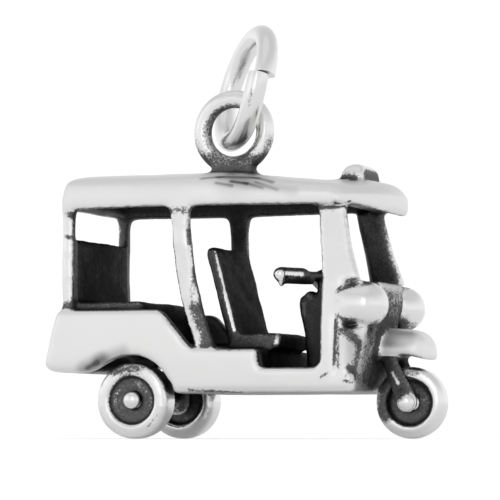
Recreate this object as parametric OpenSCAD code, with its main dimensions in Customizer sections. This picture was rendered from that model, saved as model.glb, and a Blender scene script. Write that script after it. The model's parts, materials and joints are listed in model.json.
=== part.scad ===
// Three-wheeled taxi charm in silver: cast pieces soldered into one body, wheels that turn on
// riveted axles, and an open wire ring threaded through the loop on the roof.
// Millimetres. +X is forward, +Y is left, +Z is up. The charm stands on its wheels, with the
// origin on the floor under the middle of its length and width.

/* [Lengths, from the rear] */
// From the foot of the rear panel to the rear axle
rear_overhang = 4.65; // [4.2:0.05:5.4]
// From the rear axle to the front end of the quarter panel's level top
quarter_front = 1.55; // [1.3:0.05:1.8]
// Slope from the quarter panel down to the seat sill
quarter_slope = 1.65; // [1.4:0.05:1.9]
// Sill beside the driver's seat
seat_sill_l = 3.4; // [3.1:0.1:4]
// Sill in the doorway
door_l = 3.1; // [2.8:0.1:3.6]
// Door post
post_w = 0.8; // [0.7:0.05:1]
// From the front of the door post to the front axle
post_to_axle = 2.6; // [2.5:0.05:2.9]

/* [Body] */
// Width across the bulge of the two side panels
body_w = 8.6; // [7.6:0.1:9.8]
// Thickness of a side panel at its bulge
panel_t = 0.75; // [0.65:0.05:0.9]
// Radius of a side panel's outward curve
bulge_r = 20; // [15:1:40]
// Height of the bulge above the floor pan
bulge_h = 1.4; // [1:0.1:1.8]
// Height of the underside of the floor pan
sill_z = 2.2; // [2.1:0.05:2.3]
// Thickness of the floor pan
floor_t = 0.58; // [0.5:0.02:0.66]
// Height of the doorway's sill above the floor pan
door_sill_h = 0.65; // [0.5:0.05:0.8]
// Height of the seat sill above the floor pan
seat_sill_h = 1.57; // [1.45:0.01:1.7]
// Height of the quarter panel above the floor pan
quarter_h = 3.52; // [3.3:0.02:3.7]
// Height of the nose and the door posts above the floor pan
cowl_h = 4.82; // [4.7:0.02:5]
// Height of the underside of the tail
tail_z = 3.25; // [3.1:0.05:3.4]
// Rounding along the lower edge of the tail
tail_r = 0.35; // [0.2:0.05:0.45]
// How far the rear panel leans in from foot to top
rear_lean = 0.7; // [0.4:0.05:0.9]
// Thickness of the rear panel
rear_panel_t = 0.6; // [0.5:0.05:0.7]
// Radius of the doorway's lower front corner
door_corner_r = 0.3; // [0.1:0.05:0.6]
// Radius of the door post's foot
post_foot_r = 0.7; // [0.4:0.05:0.75]
// Gap between a rear wheel and its arch
arch_gap = 0.33; // [0.25:0.01:0.4]

/* [Nose] */
// Length of the nose in front of the door posts, at its foot
nose_foot_l = 0.95; // [0.85:0.05:1.05]
// Forward lean of the nose, in degrees
nose_lean = 8.3; // [6:0.1:10]
// Radius of the nose's upright front corners
nose_corner_r = 0.9; // [0.5:0.05:1.2]
// Width of the groove behind each cheek
groove_w = 0.2; // [0.12:0.01:0.22]
// Depth of the groove behind each cheek
groove_d = 0.25; // [0.15:0.05:0.35]
// Radius of a headlamp
lamp_r = 1.12; // [1:0.02:1.16]
// Length of a headlamp's barrel behind its dome
lamp_barrel_l = 0.9; // [0.7:0.05:1.1]
// From the bulge of the side panels in to a headlamp's centre
lamp_inset = 1.18; // [1.1:0.02:1.3]
// From the top of the nose down to a headlamp's centre
lamp_drop = 1.18; // [1.17:0.01:1.3]
// From the front of the door post to the flat behind a headlamp
lamp_shelf = 0.33; // [0.25:0.01:0.4]
// Side of the square lug at each lower corner
lug_s = 0.34; // [0.2:0.02:0.4]

/* [Roof] */
// Height of the windscreen opening, from the nose to the roof's rim
screen_h = 3.65; // [3.4:0.05:4]
// Height of the roof's crown above its rim
crown_rise = 1.9; // [1.8:0.05:2.1]
// Height of the upright skirt above the rim
skirt_h = 1.35; // [1.2:0.05:1.5]
// Thickness of the roof
roof_t = 0.6; // [0.5:0.05:0.65]
// How far the roof stands out past the side panels at the middle pillars
roof_mid_out = 0.38; // [0.3:0.02:0.44]
// How far the roof stands in from the side panels at its rear end
roof_rear_in = 0.28; // [0.2:0.02:0.36]
// How far the roof stands in from the side panels at the front pillars
roof_front_in = 0.82; // [0.7:0.02:0.9]
// From the foot of the rear panel to the roof's rear end
roof_rear = 0.8; // [0.7:0.05:0.9]
// Reach of the visor in front of the front pillars
visor_l = 2; // [1.8:0.05:2.2]
// How far the visor dips below the rim
visor_drop = 0.4; // [0.2:0.05:0.5]
// Length of the roof sign
sign_l = 1.15; // [0.9:0.05:1.2]
// Width of the roof sign
sign_w = 3; // [2.6:0.1:3.4]
// Height of the roof sign above its seat
sign_h = 1.02; // [0.9:0.02:1.2]

/* [Pillars] */
// Thickness of the pillars across the body
pillar_t = 0.58; // [0.5:0.02:0.6]
// Width of a rear pillar along the body
rear_pillar_w = 0.62; // [0.5:0.02:0.7]
// Width of a middle pillar along the body
mid_pillar_w = 0.95; // [0.8:0.05:1.1]
// Radius of a middle pillar's bow
mid_pillar_bow = 16; // [14:1:22]
// How far a middle pillar leans out from sill to roof
mid_lean_out = 0.45; // [0.35:0.05:0.5]
// Width of a front pillar at the roof
front_pillar_w = 1.45; // [1.2:0.05:1.5]
// Width of a front pillar at its waist
front_waist_w = 1.65; // [1.5:0.05:1.8]
// Width of a front pillar at the nose
front_foot_w = 2; // [1.8:0.05:2.2]
// How far a front pillar's head stands behind the door post
front_pillar_back = 0.4; // [0.2:0.05:0.5]

/* [Seats] */
// Height of the bench above the quarter panels
bench_rise = 0.42; // [0.3:0.02:0.5]
// Thickness of the bench cushion
bench_t = 0.8; // [0.6:0.05:0.9]
// From the rear axle forward to the bench's front edge
bench_front = 0.52; // [0.3:0.02:0.7]
// Gap between the top of the bench's backrest and the roof's rim
rear_window_h = 1.35; // [1:0.05:1.8]
// Thickness of the bench's backrest
bench_back_t = 0.55; // [0.4:0.05:0.6]
// Width of the driver's seat
seat_w = 4.9; // [4.4:0.1:5.4]
// Thickness of the driver's cushion
seat_t = 0.8; // [0.7:0.05:0.9]
// How far the driver's cushion overhangs its box
seat_overhang = 0.55; // [0.4:0.05:0.7]
// Depth of the driver's box in front of the backrest
seat_depth = 1.44; // [1.3:0.02:1.7]
// Height of the driver's backrest above the box
seat_back_h = 5.05; // [4.6:0.05:5.4]
// Lean of the driver's backrest, in degrees
seat_back_lean = 14.6; // [10:0.2:17]
// Thickness of the driver's backrest
seat_back_t = 0.68; // [0.6:0.02:0.8]

/* [Steering] */
// Gap between the driver's cushion and the steering column
column_gap = 0.25; // [0.15:0.05:0.3]
// Width of the steering column
column_w = 0.9; // [0.7:0.05:1.1]
// Length of the stem under the handlebar
stem_l = 0.64; // [0.6:0.02:0.8]
// Diameter of the handlebar
bar_d = 0.54; // [0.45:0.01:0.6]
// Diameter of a handgrip
grip_d = 0.8; // [0.7:0.02:0.9]
// Length of a handgrip
grip_l = 2.15; // [1.8:0.05:2.4]
// Length of each half of the handlebar
bar_half_l = 3.6; // [3.2:0.05:3.8]
// Backward sweep of the handlebar, in degrees
bar_sweep = 25; // [20:1:30]

/* [Wheels and axles] */
// Diameter of a rear wheel
rear_wheel_d = 3.74; // [3.6:0.02:3.9]
// Width of a rear wheel
rear_wheel_w = 1.5; // [1.4:0.02:1.6]
// From the bulge of the side panels in to a rear wheel's outer face
wheel_inset = 0.25; // [0.15:0.01:0.35]
// Diameter of the front wheel
front_wheel_d = 3.5; // [3.4:0.02:3.6]
// Width of the front wheel
front_wheel_w = 1.24; // [1.1:0.02:1.3]
// Diameter of the dish in a rear wheel
rear_dish_d = 2.4; // [2.1:0.05:2.6]
// Diameter of the dish in the front wheel
front_dish_d = 2.3; // [2:0.05:2.4]
// Depth of a wheel's dish on its outer side
dish_depth = 0.35; // [0.3:0.01:0.4]
// Depth of a rear wheel's dish on its inner side
inner_dish_depth = 0.4; // [0.3:0.01:0.45]
// Diameter of the axles
axle_d = 0.66; // [0.5:0.02:0.7]
// Diameter of a rivet head
head_d = 0.95; // [0.88:0.01:1.05]
// Running clearance between a wheel's bore and its axle, on the radius
bore_clearance = 0.05; // [0.02:0.01:0.08]
// Side clearance of a wheel
side_clearance = 0.1; // [0.06:0.01:0.14]
// Thickness of an axle hanger
hanger_t = 0.45; // [0.35:0.05:0.55]
// Thickness of a fork leg
fork_leg_t = 0.3; // [0.24:0.02:0.36]
// Gap between the front wheel and the nose
front_gap = 0.3; // [0.25:0.01:0.36]
// Gap between the front wheel and the mudguard
mudguard_gap = 0.55; // [0.5:0.01:0.65]
// Height of the mudguard
mudguard_h = 1.35; // [1.2:0.05:1.4]
// Width of the mudguard
mudguard_w = 2.4; // [2.2:0.05:2.5]

/* [Loop and ring] */
// Diameter of the loop at the middle of its wire
loop_d = 3.32; // [3.2:0.02:3.5]
// Thickness of the loop
loop_t = 0.95; // [0.85:0.01:1]
// From the rear axle forward to the loop
loop_front = 3.9; // [3.6:0.1:4.2]
// Width of the loop's foot at its neck
neck_w = 2; // [1.8:0.05:2.2]
// Width of the loop's foot at the roof
foot_w = 2.7; // [2.5:0.05:2.9]
// Diameter of the ring at the middle of its wire
ring_d = 5.5; // [5.2:0.05:5.8]
// Thickness of the ring's wire
wire_d = 1.06; // [0.95:0.01:1.1]
// Width of the cut in the ring
ring_cut = 0.08; // [0.04:0.01:0.15]
// Turn of the ring in the loop, in degrees
ring_turn = 37; // [30:1:40]
// Lean of the ring, in degrees
ring_lean = 15; // [8:1:20]

/* [Hidden] */
$fn = 64;
// Clearance round a piece that is let into another
seat_clearance = 0.02;
// Roundings on the outlines
soft_r = 0.2;
edge_r = 0.3;
// Turn of each facet on a rounded corner, in degrees
arc_step = 10;
// Reach of a cutting solid past what it cuts
past = 3;
// Depth of a thin slice
slice = 0.01;

// Stations along the body
overall_l = rear_overhang + quarter_front + quarter_slope + seat_sill_l + door_l + post_w
    + post_to_axle + front_wheel_d / 2;
rear_x = -overall_l / 2;
rear_top_x = rear_x + rear_lean;
rear_axle_x = rear_x + rear_overhang;
slope_top_x = rear_axle_x + quarter_front;
slope_foot_x = slope_top_x + quarter_slope;
seat_sill_x = slope_foot_x + seat_sill_l;
door_front_x = seat_sill_x + door_l;
post_front_x = door_front_x + post_w;
front_axle_x = post_front_x + post_to_axle;
nose_foot_x = post_front_x + nose_foot_l;
front_x = front_axle_x + front_wheel_d / 2;
arch_r = rear_wheel_d / 2 + arch_gap;
arch_front_x = rear_axle_x + arch_r;

// Planes across the body
panel_out = body_w / 2;
panel_in = panel_out - panel_t;

// Heights
floor_top_z = sill_z + floor_t;
bulge_z = floor_top_z + bulge_h;
door_sill_z = floor_top_z + door_sill_h;
seat_sill_z = floor_top_z + seat_sill_h;
quarter_z = floor_top_z + quarter_h;
cowl_z = floor_top_z + cowl_h;
rim_z = cowl_z + screen_h;
crown_z = rim_z + crown_rise;
rear_axle_z = rear_wheel_d / 2;
front_axle_z = front_wheel_d / 2;
well_z = rear_axle_z + arch_r;
bench_z = quarter_z + bench_rise;
mudguard_z = front_wheel_d + mudguard_gap;

// Roof
roof_rear_x = rear_x + roof_rear;
front_pillar_x = door_front_x - front_pillar_back;
visor_x = front_pillar_x + front_pillar_w;
roof_front_x = visor_x + visor_l;
mid_pillar_x = slope_top_x + 0.7;
roof_half_w = panel_out + roof_mid_out;
dome_rise = crown_rise - skirt_h;
dome_r = (pow(roof_half_w, 2) + pow(dome_rise, 2)) / (2 * dome_rise);
sign_x = visor_x - 0.84;
sign_z = crown_z - 0.78;
roof_front_half = panel_out - roof_front_in;
bill_rear_x = visor_x - 0.1;
bill_fall = 0.65;
bill_reach = visor_l + 0.1;
bill_r = (pow(roof_front_half + 0.12, 2) + pow(bill_reach, 2)) / (2 * bill_reach);
bill_dome_rise = 0.6;
bill_dome_r = (pow(roof_front_half, 2) + pow(bill_dome_rise, 2)) / (2 * bill_dome_rise);

// Pillars
rear_pillar_x = roof_rear_x + 0.1;
rear_pillar_out = panel_out - roof_rear_in - 0.1;
rear_pillar_in = rear_pillar_out - pillar_t;
mid_foot_out = panel_out - 0.2;
front_head_out = panel_out - roof_front_in - 0.2;

// Headlamps
lamp_y = panel_out - lamp_inset;
lamp_z = cowl_z - lamp_drop;
lamp_seat_x = post_front_x + lamp_shelf;

// Seats
bench_back_x = rear_top_x + 0.3;
board_t = 0.5;
cushion_front_x = seat_sill_x + seat_overhang;
seat_back_x = seat_sill_x - seat_depth;

// Steering column's outline from its rear edge and the floor: [x, z, radius]
column_x = cushion_front_x + column_gap;
stem_x = 0.95;
stem_h = 4.9;
COLUMN = [
    [0.4, 0, 0], [1.75, 0, 0], [stem_x + stem_l, 3.2, 0.3], [stem_x + stem_l, stem_h, 0],
    [stem_x, stem_h, 0], [stem_x, 4.1, 0.05], [0.78, 4.1, 0.05], [0.78, 4.52, 0.15],
    [0.34, 4.52, 0.15], [0.32, 4.2, 0.05], [0, 4.2, 0.12], [0, 3.6, 0.5], [0.3, 2.3, 1]
];
bar_x = column_x + stem_x + stem_l / 2;
bar_z = floor_top_z + stem_h + bar_d / 2;
lever_d = 0.26;

// Wheels
rear_wheel_out = panel_out - wheel_inset;
rear_wheel_in = rear_wheel_out - rear_wheel_w;
tyre_edge_r = 0.34;
tyre_groove_r = 0.07;
tyre_groove_in = 0.3;
rear_head_t = 0.3;
front_head_t = 0.13;
hanger_out = rear_wheel_in - side_clearance;
hanger_eye_r = 0.75;
fork_in = front_wheel_w / 2 + side_clearance;
fork_out = fork_in + fork_leg_t;
fork_eye_r = 0.56;
fork_crown_l = 0.95;
fork_crown_t = 0.3;

// Loop and ring: the ring's wire passes low in the loop's hole, a little to the rear
loop_x = rear_axle_x + loop_front;
loop_seat_z = crown_z - 0.2;
loop_z = crown_z + loop_d / 2 + loop_t / 2 - 0.05;
loop_foot_r = loop_t * 0.6;
flare_r = 0.35;
ring_pass = [loop_x - 0.1, 0, loop_z - 0.44];
ring_cut_angle = 8;

// Width of the body's bulged side at a height
function side_y(z) = panel_out - bulge_r + sqrt(pow(bulge_r, 2) - pow(z - bulge_z, 2));
// Front of the leaning nose at a height
function nose_x(z) = nose_foot_x + (z - floor_top_z) * tan(nose_lean);
// Point on the rear wheel arch
function arch_point(a) = [rear_axle_x + arch_r * cos(a), rear_axle_z + arch_r * sin(a), 0];

// Outlines with rounded corners: each point is [x, y, radius], anticlockwise
function unit(v) = v / norm(v);
function corner(pts, i) = let (p = pts[(i + len(pts)) % len(pts)]) [p[0], p[1]];
function to_last(pts, i) = unit(corner(pts, i - 1) - corner(pts, i));
function to_next(pts, i) = unit(corner(pts, i + 1) - corner(pts, i));
function half_angle(pts, i) = acos(to_last(pts, i) * to_next(pts, i)) / 2;
function is_convex(pts, i) = cross(to_next(pts, i), to_last(pts, i)) > 0;
function arc_centre(pts, i) = corner(pts, i)
    + unit(to_last(pts, i) + to_next(pts, i)) * pts[i][2] / sin(half_angle(pts, i));
function arc_start(pts, i) = corner(pts, i) + to_last(pts, i) * pts[i][2] / tan(half_angle(pts, i));
function arc_sweep(pts, i) = (180 - 2 * half_angle(pts, i)) * (is_convex(pts, i) ? 1 : -1);
function turned(v, a) = [v[0] * cos(a) - v[1] * sin(a), v[0] * sin(a) + v[1] * cos(a)];
function arc_points(pts, i) = let (
        c = arc_centre(pts, i),
        n = max(3, ceil(abs(arc_sweep(pts, i)) / arc_step))
    ) [for (k = [0 : n]) c + turned(arc_start(pts, i) - c, arc_sweep(pts, i) * k / n)];

module rounded_outline(pts) {
    polygon([
        for (i = [0 : len(pts) - 1])
            for (p = pts[i][2] > 0 ? arc_points(pts, i) : [corner(pts, i)]) p
    ]);
}

// Extrusions of a side view, a front view and a plan
module along_y(y0, y1) {
    translate([0, y1, 0]) rotate([90, 0, 0]) linear_extrude(y1 - y0) children();
}

module along_x(x0, x1) {
    translate([x0, 0, 0]) rotate([90, 0, 90]) linear_extrude(x1 - x0) children();
}

module along_z(z0, z1) {
    translate([0, 0, z0]) linear_extrude(z1 - z0) children();
}

module right_hand() {
    mirror([0, 1, 0]) children();
}

module both_sides() {
    for (side = [0, 1]) mirror([0, side, 0]) children();
}

// Round bar along Y
module cross_bar(x, z, y0, y1, d) {
    translate([x, y0, z]) rotate([-90, 0, 0]) cylinder(h = y1 - y0, d = d);
}

// Side of the body: tail, wheel arch, sills and door post in one plate
module side_outline() {
    arch_rear = arch_point(120);
    arch_foot = asin((floor_top_z - rear_axle_z) / arch_r);
    tail_front_x = arch_rear[0] - (arch_rear[1] - tail_z) / tan(30);
    rounded_outline(concat(
        [[rear_x, tail_z, 0.45], [tail_front_x, tail_z, 0.8]],
        [for (k = [0 : 12]) arch_point(120 + (arch_foot - 120) * k / 12)],
        [
            [post_front_x, floor_top_z, post_foot_r],
            [post_front_x, cowl_z, 0],
            [door_front_x, cowl_z, 0],
            [door_front_x, door_sill_z, door_corner_r],
            [seat_sill_x, door_sill_z, soft_r],
            [seat_sill_x, seat_sill_z, soft_r],
            [slope_foot_x, seat_sill_z, soft_r],
            [slope_top_x, quarter_z, 0.5],
            [rear_top_x, quarter_z, edge_r]
        ]
    ));
}

// Front view of one bulged side
module bulge_disc() {
    translate([panel_out - bulge_r, bulge_z]) circle(bulge_r, $fn = 256);
}

// Front view of what rounds off the lower edge of the tail
module tail_cutter() {
    difference() {
        translate([panel_out - tail_r, tail_z - past]) square([tail_r + past, tail_r + past]);
        translate([panel_out - tail_r, tail_z + tail_r]) circle(tail_r);
    }
}

module side_panel() {
    color("silver") difference() {
        intersection() {
            along_y(panel_in, panel_out + past) side_outline();
            along_x(rear_x - past, front_x) bulge_disc();
        }
        along_x(rear_x - past, rear_axle_x) tail_cutter();
    }
}

module side_panel_left() {
    side_panel();
}

module side_panel_right() {
    right_hand() side_panel();
}

module rear_panel() {
    color("silver") along_y(-panel_in, panel_in) rounded_outline([
        [rear_x, tail_z, 0.45],
        [rear_x + rear_panel_t, tail_z, 0],
        [rear_top_x + rear_panel_t, quarter_z, 0],
        [rear_top_x, quarter_z, edge_r]
    ]);
}

// Room for the front wheel and its fork
module front_notch() {
    along_y(-fork_out - side_clearance, fork_out + side_clearance)
        translate([front_axle_x, front_axle_z]) circle(front_wheel_d / 2 + front_gap);
}

// Floor: a full-width plate under the doorway, stepped up over the rear wheels, low in the tail
module floor_pan() {
    tail_x = rear_x + rear_panel_t;
    well_rear_x = rear_axle_x - arch_r;
    edge_y = side_y(floor_top_z);
    color("dimgray") {
        difference() {
            along_x(arch_front_x, nose_foot_x) rounded_outline([
                [-edge_y, sill_z, edge_r],
                [edge_y, sill_z, edge_r],
                [edge_y, floor_top_z, 0],
                [-edge_y, floor_top_z, 0]
            ]);
            front_notch();
        }
        along_y(-panel_in, panel_in) polygon([
            [tail_x + seat_clearance, tail_z],
            [well_rear_x, tail_z],
            [well_rear_x, well_z],
            [arch_front_x, well_z],
            [arch_front_x, sill_z + floor_t / 2],
            [arch_front_x + floor_t, sill_z + floor_t / 2],
            [arch_front_x + floor_t, well_z + floor_t],
            [well_rear_x - floor_t, well_z + floor_t],
            [well_rear_x - floor_t, tail_z + floor_t],
            [tail_x + rear_lean, tail_z + floor_t]
        ]);
    }
}

// Leaning nose with grooves behind its cheeks, flats for the lamps and a notch for the wheel
module nose() {
    plan_l = nose_corner_r + past;
    color("dimgray") {
        difference() {
            intersection() {
                translate([nose_foot_x, 0, floor_top_z]) rotate([0, nose_lean, 0])
                    along_z(-past, cowl_h + past) rounded_outline([
                        [-plan_l, -panel_out, 0],
                        [0, -panel_out, nose_corner_r],
                        [0, panel_out, nose_corner_r],
                        [-plan_l, panel_out, 0]
                    ]);
                along_x(post_front_x, front_x) intersection() {
                    bulge_disc();
                    mirror([1, 0]) bulge_disc();
                    translate([-panel_out, floor_top_z]) square([body_w, cowl_h]);
                }
            }
            both_sides() lamp_pocket();
            both_sides() cheek_groove();
            front_notch();
        }
        both_sides() nose_lug();
    }
}

module lamp_pocket() {
    pocket_y = lamp_y - lamp_r - seat_clearance;
    pocket_z = lamp_z - lamp_r - seat_clearance;
    along_x(lamp_seat_x, front_x)
        translate([pocket_y, pocket_z]) square([body_w, cowl_z - pocket_z + past]);
}

// Groove between a cheek and the door post, from the floor to the lamp
module cheek_groove() {
    along_x(post_front_x - past, post_front_x + groove_w)
        translate([panel_out - groove_d, floor_top_z - past])
            square([body_w, past + lamp_z - floor_top_z - lamp_r / 2]);
}

// Square lug at the foot of a cheek
module nose_lug() {
    lug_x = nose_foot_x - lug_s;
    along_x(post_front_x + groove_w + seat_clearance, lug_x + lug_s)
        translate([side_y(floor_top_z) - 2 * lug_s, floor_top_z]) square([2 * lug_s, lug_s]);
}

// Headlamp: a short barrel with a domed front
module headlamp() {
    color("silver") translate([lamp_seat_x, lamp_y, lamp_z]) rotate([0, 90, 0])
        rotate_extrude() {
            square([lamp_r, lamp_barrel_l]);
            intersection() {
                translate([0, lamp_barrel_l]) circle(lamp_r);
                translate([0, lamp_barrel_l]) square([lamp_r, lamp_r]);
            }
        }
}

module headlamp_left() {
    headlamp();
}

module headlamp_right() {
    right_hand() headlamp();
}

// Roof behind the visor in plan, drawn in by a margin
module roof_plan(inset) {
    half = [
        [roof_rear_x + inset, panel_out - roof_rear_in - inset, 0.5],
        [mid_pillar_x, roof_half_w - inset, 14],
        [bill_rear_x, roof_front_half - inset, 0]
    ];
    rounded_outline(concat(
        [for (p = half) [p[0], -p[1], p[2]]],
        [for (i = [len(half) - 1 : -1 : 0]) half[i]]
    ));
}

// Front view of a dome under a crown
module dome_disc(z, r) {
    translate([0, z - r]) circle(r, $fn = 128);
}

// Space under the roof's skin, lowered by a depth: a side view, and a dome that falls to the visor
module under_dome(depth) {
    low_z = rim_z - past;
    fall_x = loop_x + 0.4;
    fall_angle = atan(bill_fall / (bill_rear_x - fall_x));
    translate([0, 0, -depth]) intersection() {
        along_y(-roof_half_w - past, roof_half_w + past) rounded_outline([
            [roof_rear_x, low_z, 0],
            [bill_rear_x, low_z, 0],
            [bill_rear_x, crown_z + 0.3, 0],
            [roof_rear_x, crown_z - 0.08, 0.7]
        ]);
        along_x(roof_rear_x - past, roof_front_x + past) dome_disc(crown_z, dome_r);
        translate([fall_x, 0, crown_z]) rotate([0, fall_angle, 0])
            along_x(-overall_l, overall_l) dome_disc(0, dome_r);
    }
}

// Visor: a round-edged bill, domed as the roof is
module bill() {
    low_z = rim_z - visor_drop - 0.05;
    top_z = crown_z - bill_fall;
    intersection() {
        translate([roof_front_x - bill_r, 0, 0]) rotate_extrude($fn = 128) rounded_outline([
            [0, low_z, 0],
            [bill_r, low_z, 0.35],
            [bill_r, top_z, 0.9],
            [0, top_z, 0]
        ]);
        along_x(bill_rear_x - 0.3, roof_front_x + past) dome_disc(top_z, bill_dome_r);
    }
}

// Side view of what lies above the rim, with the visor's dip at the front
module above_rim() {
    rounded_outline([
        [roof_rear_x - past, rim_z, 0],
        [visor_x + 0.3, rim_z, 1.5],
        [roof_front_x - 0.3, rim_z - visor_drop, 0.5],
        [roof_front_x + past, rim_z - visor_drop, 0],
        [roof_front_x + past, crown_z + past, 0],
        [roof_rear_x - past, crown_z + past, 0]
    ]);
}

// Hollow under the roof, ending behind the visor
module roof_hollow() {
    hollow_l = bill_rear_x - 0.5 - roof_rear_x;
    intersection() {
        under_dome(roof_t);
        along_z(rim_z - past / 2, crown_z + past) intersection() {
            roof_plan(roof_t);
            translate([roof_rear_x - past, -body_w]) square([hollow_l + past, 2 * body_w]);
        }
    }
}

module roof() {
    color("silver") difference() {
        intersection() {
            union() {
                intersection() {
                    under_dome(0);
                    along_z(rim_z - past, crown_z + past) roof_plan(0);
                }
                bill();
            }
            along_y(-body_w, body_w) above_rim();
        }
        roof_hollow();
        along_z(loop_seat_z, crown_z + past) loop_plan(seat_clearance);
        along_z(sign_z, crown_z + past) sign_plan(seat_clearance);
    }
}

module sign_plan(margin) {
    translate([sign_x - margin, -sign_w / 2 - margin])
        square([sign_l + 2 * margin, sign_w + 2 * margin]);
}

// Sign on the front of the roof, with a rounded top
module roof_sign() {
    color("silver") intersection() {
        along_x(sign_x, sign_x + sign_l) rounded_outline([
            [-sign_w / 2, sign_z, 0],
            [sign_w / 2, sign_z, 0],
            [sign_w / 2, sign_z + sign_h, 0.65],
            [-sign_w / 2, sign_z + sign_h, 0.65]
        ]);
        along_y(-sign_w, sign_w) rounded_outline([
            [sign_x, sign_z, 0],
            [sign_x + sign_l, sign_z, 0],
            [sign_x + sign_l, sign_z + sign_h, 0.4],
            [sign_x, sign_z + sign_h, 0.55]
        ]);
    }
}

module rear_pillar() {
    color("silver") along_z(quarter_z, rim_z)
        translate([rear_pillar_x, rear_pillar_in]) square([rear_pillar_w, pillar_t]);
}

module rear_pillar_left() {
    rear_pillar();
}

module rear_pillar_right() {
    right_hand() rear_pillar();
}

// Middle pillar, bowed forward and leaning in to the sill
module mid_pillar() {
    bow_z = rim_z - 0.85;
    head_w = 1.1;
    color("silver") intersection() {
        along_y(0, body_w) {
            intersection() {
                translate([mid_pillar_x + mid_pillar_w + mid_pillar_bow, bow_z]) difference() {
                    circle(mid_pillar_bow + mid_pillar_w, $fn = 256);
                    circle(mid_pillar_bow, $fn = 256);
                }
                translate([mid_pillar_x - past, seat_sill_z]) square([2 * past, rim_z - seat_sill_z]);
            }
            polygon([
                [mid_pillar_x + mid_pillar_w, rim_z],
                [mid_pillar_x + mid_pillar_w - head_w, rim_z],
                [mid_pillar_x + 0.06, bow_z - 0.9],
                [mid_pillar_x + mid_pillar_w / 2, bow_z - 0.9]
            ]);
        }
        along_x(mid_pillar_x - past, mid_pillar_x + 2 * past) polygon([
            [mid_foot_out - pillar_t, seat_sill_z],
            [mid_foot_out, seat_sill_z],
            [mid_foot_out + mid_lean_out, rim_z],
            [mid_foot_out + mid_lean_out - pillar_t, rim_z]
        ]);
    }
}

module mid_pillar_left() {
    mid_pillar();
}

module mid_pillar_right() {
    right_hand() mid_pillar();
}

// Front pillar, leaning in and back from the nose to the roof, narrower on its inner side
module front_pillar() {
    foot_out = side_y(cowl_z);
    waist = 0.45;
    waist_z = cowl_z + screen_h * waist;
    waist_out = foot_out + (front_head_out - foot_out) * waist;
    waist_x = door_front_x - front_pillar_back * waist;
    color("silver") {
        hull() {
            pillar_slice(cowl_z, door_front_x, front_foot_w, foot_out, 0.35);
            pillar_slice(waist_z, waist_x, front_waist_w, waist_out, 0.25);
        }
        hull() {
            pillar_slice(waist_z, waist_x, front_waist_w, waist_out, 0.25);
            pillar_slice(rim_z - slice, front_pillar_x, front_pillar_w, front_head_out, 0.05);
        }
    }
}

// Thin level slice of a front pillar, cut back on its inner side
module pillar_slice(z, x, w, out, cut) {
    along_z(z, z + slice) polygon([
        [x, out], [x + cut, out - pillar_t], [x + w - 0.1, out - pillar_t], [x + w, out]
    ]);
}

module front_pillar_left() {
    front_pillar();
}

module front_pillar_right() {
    right_hand() front_pillar();
}

// Passenger bench: a cushion on a front board, open behind the board
module bench() {
    front = rear_axle_x + bench_front;
    rear = bench_back_x + bench_back_t + seat_clearance;
    lip = 0.1;
    color("dimgray") along_y(-panel_in, panel_in) rounded_outline([
        [front - board_t - lip, well_z + floor_t, 0],
        [front - lip, well_z + floor_t, 0],
        [front - lip, bench_z - bench_t, 0.05],
        [front, bench_z - bench_t, 0.05],
        [front, bench_z, edge_r],
        [rear, bench_z, 0],
        [rear, bench_z - bench_t, 0],
        [front - board_t - lip, bench_z - bench_t, 0.15]
    ]);
}

// Backrest of the bench, on the rear panel between the rear pillars
module bench_back() {
    half_w = rear_pillar_in - 0.06;
    top_z = rim_z - rear_window_h;
    color("dimgray") intersection() {
        along_x(bench_back_x, bench_back_x + bench_back_t) rounded_outline([
            [-half_w, quarter_z, 0],
            [half_w, quarter_z, 0],
            [half_w, top_z, edge_r],
            [-half_w, top_z, edge_r]
        ]);
        along_y(-half_w, half_w) rounded_outline([
            [bench_back_x, quarter_z, 0],
            [bench_back_x + bench_back_t, quarter_z, 0],
            [bench_back_x + bench_back_t, top_z, soft_r],
            [bench_back_x, top_z, soft_r]
        ]);
    }
}

// Box under the driver's seat, open to the floor
module seat_box() {
    rear = slope_foot_x + edge_r;
    color("dimgray") along_y(-panel_in, panel_in) rounded_outline([
        [rear, floor_top_z, 0],
        [rear + board_t, floor_top_z, 0],
        [rear + board_t, seat_sill_z - board_t, 0.1],
        [seat_sill_x - board_t, seat_sill_z - board_t, 0.1],
        [seat_sill_x - board_t, floor_top_z, 0],
        [seat_sill_x, floor_top_z, 0],
        [seat_sill_x, seat_sill_z, 0.1],
        [rear, seat_sill_z, 0.1]
    ]);
}

// Driver's cushion and leaning backrest in one piece
module driver_seat() {
    lean = tan(seat_back_lean);
    top_z = seat_sill_z + seat_back_h;
    cushion_z = seat_sill_z + seat_t;
    color("dimgray") along_y(-seat_w / 2, seat_w / 2) rounded_outline([
        [seat_back_x - seat_back_t, seat_sill_z, 0.15],
        [cushion_front_x, seat_sill_z, soft_r],
        [cushion_front_x, cushion_z, edge_r],
        [seat_back_x - seat_t * lean, cushion_z, edge_r],
        [seat_back_x - seat_back_h * lean, top_z, edge_r],
        [seat_back_x - seat_back_t - seat_back_h * lean, top_z, edge_r]
    ]);
}

// Steering column with a lobed console and a stem for the handlebar
module steering_column() {
    color("dimgray") translate([column_x, 0, floor_top_z])
        along_y(-column_w / 2, column_w / 2) rounded_outline(COLUMN);
}

// Swept handlebar with grips and brake levers, clamped on the stem
module handlebar() {
    stem_z = floor_top_z + stem_h;
    color("silver") difference() {
        union() {
            cross_bar(bar_x, bar_z, -column_w / 2, column_w / 2, grip_d);
            both_sides() bar_half();
        }
        translate([bar_x - stem_l, -column_w, stem_z - grip_d])
            cube([2 * stem_l, 2 * column_w, grip_d]);
    }
}

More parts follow.
